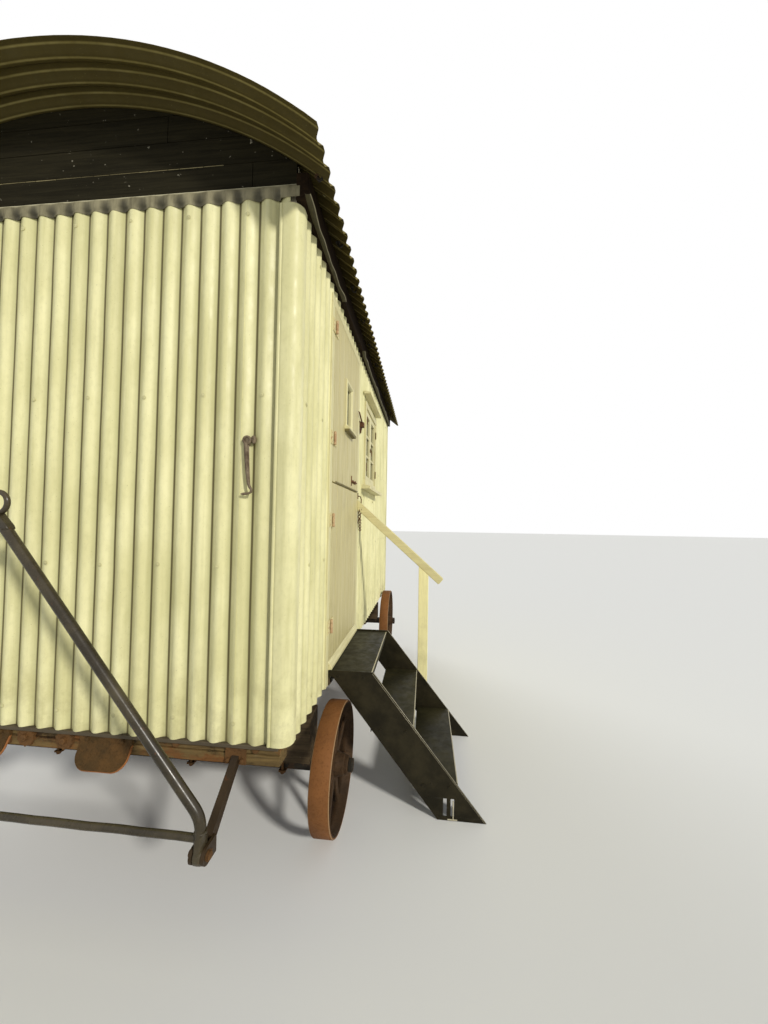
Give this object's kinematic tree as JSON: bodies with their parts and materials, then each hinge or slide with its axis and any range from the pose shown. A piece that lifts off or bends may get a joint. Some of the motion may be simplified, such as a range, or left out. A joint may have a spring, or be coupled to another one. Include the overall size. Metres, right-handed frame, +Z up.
{
  "type": "shepherds hut",
  "caption": "Shepherds hut clad in cream corrugated sheet, with a curved roof, stable door, steel steps, iron wheels and a folding drawbar.",
  "frame": {"origin": "on the ground under the middle of the whole object's box", "axes": "+X towards the side with the door and steps, +Y from the drawbar end to the rear end, +Z up"},
  "size_m": [2.8026, 3.6926, 2.9756],
  "materials": {
    "floor_boards": "worn boards",
    "chassis_timber": "weathered timber",
    "weathered_beam": "rust-stained weathered timber",
    "wall_timber": "painted boards",
    "black_boards": "black stained boards",
    "lead_flashing": "dull lead grey",
    "cream_sheet": "satin cream-green paint on corrugated sheet",
    "roof_sheet": "olive cream paint on corrugated sheet",
    "dark_eaves": "dark stained timber",
    "cream_timber": "cream painted timber",
    "rusty_iron": "rusted",
    "rusty_wheel": "even orange-brown rust",
    "window_glass": "clear",
    "black_steel_tube": "worn black paint",
    "black_steel_plate": "semi-gloss black paint with scuffs"
  },
  "bodies": {
    "hut": {"floor": "floor_boards", "floor_bearers": "chassis_timber", "end_beams": "weathered_beam", "chassis_rails": "chassis_timber", "front_wall": "wall_timber", "rear_wall": "wall_timber", "left_wall": "wall_timber", "right_wall_front": "wall_timber", "right_wall_over_door": "wall_timber", "right_wall_rear": "wall_timber", "front_gable": "black_boards", "rear_gable": "black_boards", "gable_flashings": "lead_flashing", "front_cladding": "cream_sheet", "rear_cladding": "cream_sheet", "left_cladding": "cream_sheet", "right_cladding": "cream_sheet", "corner_sheets": "cream_sheet", "roof_sheets": "roof_sheet", "ceiling_boards": "wall_timber", "eaves_beams": "dark_eaves", "door_posts": "cream_timber", "door_head": "cream_timber", "door_threshold": "chassis_timber", "door_weatherboard": "cream_timber", "post_hinges": "rusty_iron", "window_frames": "cream_timber", "window_casements": "cream_timber", "window_panes": "window_glass", "window_sills": "cream_timber", "window_drip_boards": "cream_timber", "axles": "rusty_iron", "bolsters": "chassis_timber", "drawbar_arms": "black_steel_tube", "foot_plates": "rusty_iron", "star_plates": "rusty_iron", "hook_bracket": "rusty_iron", "hook_rod": "rusty_iron", "step_stringers": "black_steel_plate", "step_treads": "black_steel_plate", "handrail": "cream_timber", "handrail_post": "cream_timber"},
    "lower_leaf": {"door_lower_leaf": "cream_timber", "door_lower_hinges": "rusty_iron"},
    "upper_leaf": {"door_upper_leaf": "cream_timber", "door_upper_hinges": "rusty_iron", "door_window_frame": "cream_timber", "door_window_pane": "window_glass", "door_latch": "rusty_iron"},
    "drawbar": {"drawbar_left_leg": "black_steel_tube", "drawbar_right_leg": "black_steel_tube", "drawbar_crossbar": "black_steel_tube", "drawbar_eye": "black_steel_tube"},
    "front_left_wheel_body": {"front_left_wheel": "rusty_wheel"},
    "front_right_wheel_body": {"front_right_wheel": "rusty_wheel"},
    "rear_left_wheel_body": {"rear_left_wheel": "rusty_wheel"},
    "rear_right_wheel_body": {"rear_right_wheel": "rusty_wheel"}
  },
  "joints": [
    {"name": "lower_leaf_hinge", "type": "hinge", "parent": "hut", "child": "lower_leaf", "pos_m": [0.66025, -1.0953, 1.15], "axis": [0, 0, -1], "range_deg": [0, 160]},
    {"name": "upper_leaf_hinge", "type": "hinge", "parent": "hut", "child": "upper_leaf", "pos_m": [0.66025, -1.0953, 2], "axis": [0, 0, -1], "range_deg": [0, 160]},
    {"name": "drawbar_hinge", "type": "hinge", "parent": "hut", "child": "drawbar", "pos_m": [-0.30225, -1.8183, 0.358], "axis": [1, 0, 0], "range_deg": [0, 108]},
    {"name": "front_left_wheel_spin", "type": "hinge", "parent": "hut", "child": "front_left_wheel_body", "pos_m": [-1.31175, -1.1903, 0.265], "axis": [1, 0, 0], "continuous": true},
    {"name": "front_right_wheel_spin", "type": "hinge", "parent": "hut", "child": "front_right_wheel_body", "pos_m": [0.70725, -1.1903, 0.265], "axis": [1, 0, 0], "continuous": true},
    {"name": "rear_left_wheel_spin", "type": "hinge", "parent": "hut", "child": "rear_left_wheel_body", "pos_m": [-1.31175, 1.2063, 0.315], "axis": [1, 0, 0], "continuous": true},
    {"name": "rear_right_wheel_spin", "type": "hinge", "parent": "hut", "child": "rear_right_wheel_body", "pos_m": [0.70725, 1.2063, 0.315], "axis": [1, 0, 0], "continuous": true}
  ]
}
